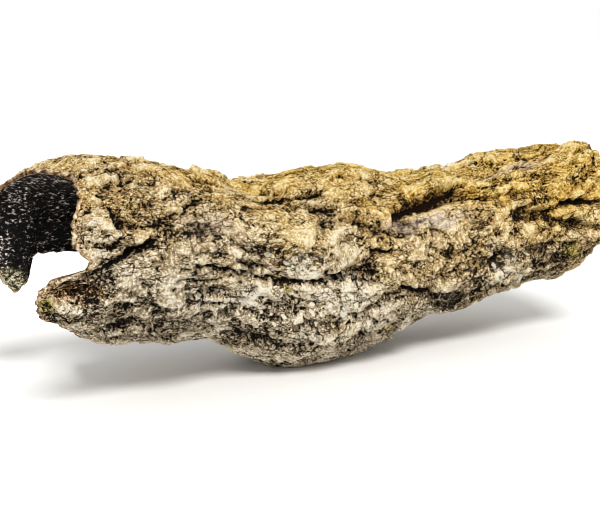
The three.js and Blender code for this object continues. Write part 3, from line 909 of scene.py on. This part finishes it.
def broken_cork():
    """Raw cork: cream to brown by noise, darker towards the inner face."""
    material, tree, shader = new_material("broken_cork")
    place_on = node(tree, "ShaderNodeTexCoord").outputs["Object"]
    across = node(tree, "ShaderNodeAttribute", attribute_name="across").outputs["Fac"]
    speck_inputs = {"Vector": place_on, "Scale": per_metre(3.0), "Detail": 4.0, "Roughness": 0.7}
    speck = node(tree, "ShaderNodeTexNoise", speck_inputs)
    light_inputs = {0: across, 1: -0.16, 2: speck.outputs["Fac"]}
    light = node(tree, "ShaderNodeMath", light_inputs, operation="MULTIPLY_ADD")
    colour = ramp(tree, light.outputs["Value"], [
        (0.26, "#0d0704"), (0.36, "#4d3822"), (0.46, "#9c7c56"), (0.56, "#d8c09a"), (0.68, "#f4e7cd"),
    ])
    colour = with_pale_finger(tree, colour, speck.outputs["Fac"])
    tree.links.new(colour, shader.inputs["Base Color"])
    shader.inputs["Roughness"].default_value = 0.85
    shader.inputs["Specular IOR Level"].default_value = 0.25
    bump_inputs = {"Height": speck.outputs["Fac"], "Strength": 1.0, "Distance": 2.0 * MM}
    bump = node(tree, "ShaderNodeBump", bump_inputs)
    tree.links.new(bump.outputs["Normal"], shader.inputs["Normal"])
    return material


def inner_bark():
    """Nearly black, with pale specks where two noises are high: painted highlights where thin scales catch
    the light.
    """
    material, tree, shader = new_material("inner_bark")
    place_on = node(tree, "ShaderNodeTexCoord").outputs["Object"]
    stretch = node(tree, "ShaderNodeMapping", {"Vector": place_on, "Scale": (0.6, 1.0, 1.0)})
    stretched = stretch.outputs["Vector"]
    speck_inputs = {"Vector": stretched, "Scale": per_metre(1.7), "Detail": 3.0, "Roughness": 0.7}
    speck = node(tree, "ShaderNodeTexNoise", speck_inputs)
    patch = node(tree, "ShaderNodeTexNoise", {"Vector": place_on, "Scale": per_metre(22.0), "Detail": 3.0})
    light = node(
        tree, "ShaderNodeMath", {0: patch.outputs["Fac"], 1: 0.4, 2: speck.outputs["Fac"]},
        operation="MULTIPLY_ADD",
    ).outputs["Value"]
    # The pale top of the ramp paints the highlights on the scales.
    colour = ramp(tree, light, [
        (0.64, "#010101"), (0.72, "#0d0907"), (0.77, "#352b25"), (0.82, "#a89d94"), (0.88, "#f0ebe6"),
    ])
    colour = with_pale_finger(tree, colour, speck.outputs["Fac"])
    tree.links.new(colour, shader.inputs["Base Color"])
    shader.inputs["Roughness"].default_value = 0.6
    shader.inputs["Specular IOR Level"].default_value = 0.12
    bump = node(tree, "ShaderNodeBump", {"Height": light, "Strength": 1.0, "Distance": 2.5 * MM})
    tree.links.new(bump.outputs["Normal"], shader.inputs["Normal"])
    return material


for made in (weathered_cork(), broken_cork(), inner_bark()):
    bark_mesh.materials.append(made)
OUTER, EDGE, INNER = range(3)
slots = np.concatenate([
    np.full(len(outer_quads), OUTER), np.full(len(edge_quads), EDGE),
    np.full(len(inner_quads), INNER), np.full(len(edge_triangles), EDGE),
])
bark_mesh.polygons.foreach_set("material_index", slots.astype(np.int32))
bark_mesh.polygons.foreach_set("use_smooth", np.ones(len(slots), bool))
print("materials:", [material.name for material in bark_mesh.materials])

# %% [markdown]
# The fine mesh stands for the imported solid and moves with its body.

# %% Ties to the frame
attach(bark, "root")
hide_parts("bark")
print("replaced the plain solid by", bark.name)

# %% [markdown]
# A plain pale floor, one broad light from above in front, and a bright even surround. The furrows go dark
# by their depth and by the shade painted in them.

# %% Floor and lights
def add_floor():
    """One pale square at height 0, twelve metres wide."""
    half = 6.0
    mesh = bpy.data.meshes.new("floor")
    corners = [(-half, -half, 0), (half, -half, 0), (half, half, 0), (-half, half, 0)]
    mesh.from_pydata(corners, [], [(0, 1, 2, 3)])
    material, _, shader = new_material("pale_floor")
    shader.inputs["Base Color"].default_value = linear("#f7f6f3")
    shader.inputs["Roughness"].default_value = 0.9
    mesh.materials.append(material)
    floor = bpy.data.objects.new("floor", mesh)
    bpy.context.scene.collection.objects.link(floor)


def add_sun(name, source, width, strength):
    """An even light from a direction, as wide in the sky as that many degrees, which softens its shadows."""
    lamp = bpy.data.lights.new(name, "SUN")
    lamp.angle = np.radians(width)
    lamp.energy = strength
    light = bpy.data.objects.new(name, lamp)
    light.rotation_euler = Vector(source).to_track_quat("Z", "Y").to_euler()
    bpy.context.scene.collection.objects.link(light)


def add_surround(strength):
    """An even white surround that lights with this strength, and that the camera sees as plain white."""
    world = bpy.data.worlds.new("surround")
    world.use_nodes = True
    tree = world.node_tree
    seen = node(tree, "ShaderNodeLightPath").outputs["Is Camera Ray"]
    level = node(tree, "ShaderNodeMapRange", {"Value": seen, "To Min": strength, "To Max": 1.0})
    background = tree.nodes["Background"]
    background.inputs["Color"].default_value = linear("#ffffff")
    tree.links.new(level.outputs["Result"], background.inputs["Strength"])
    bpy.context.scene.world = world


add_floor()
add_sun("key", (-0.15, -0.62, 0.78), 20.0, 2.5)
add_surround(0.72)
bpy.context.scene.view_settings.view_transform = "Standard"
bpy.context.scene.cycles.filter_width = 0.8
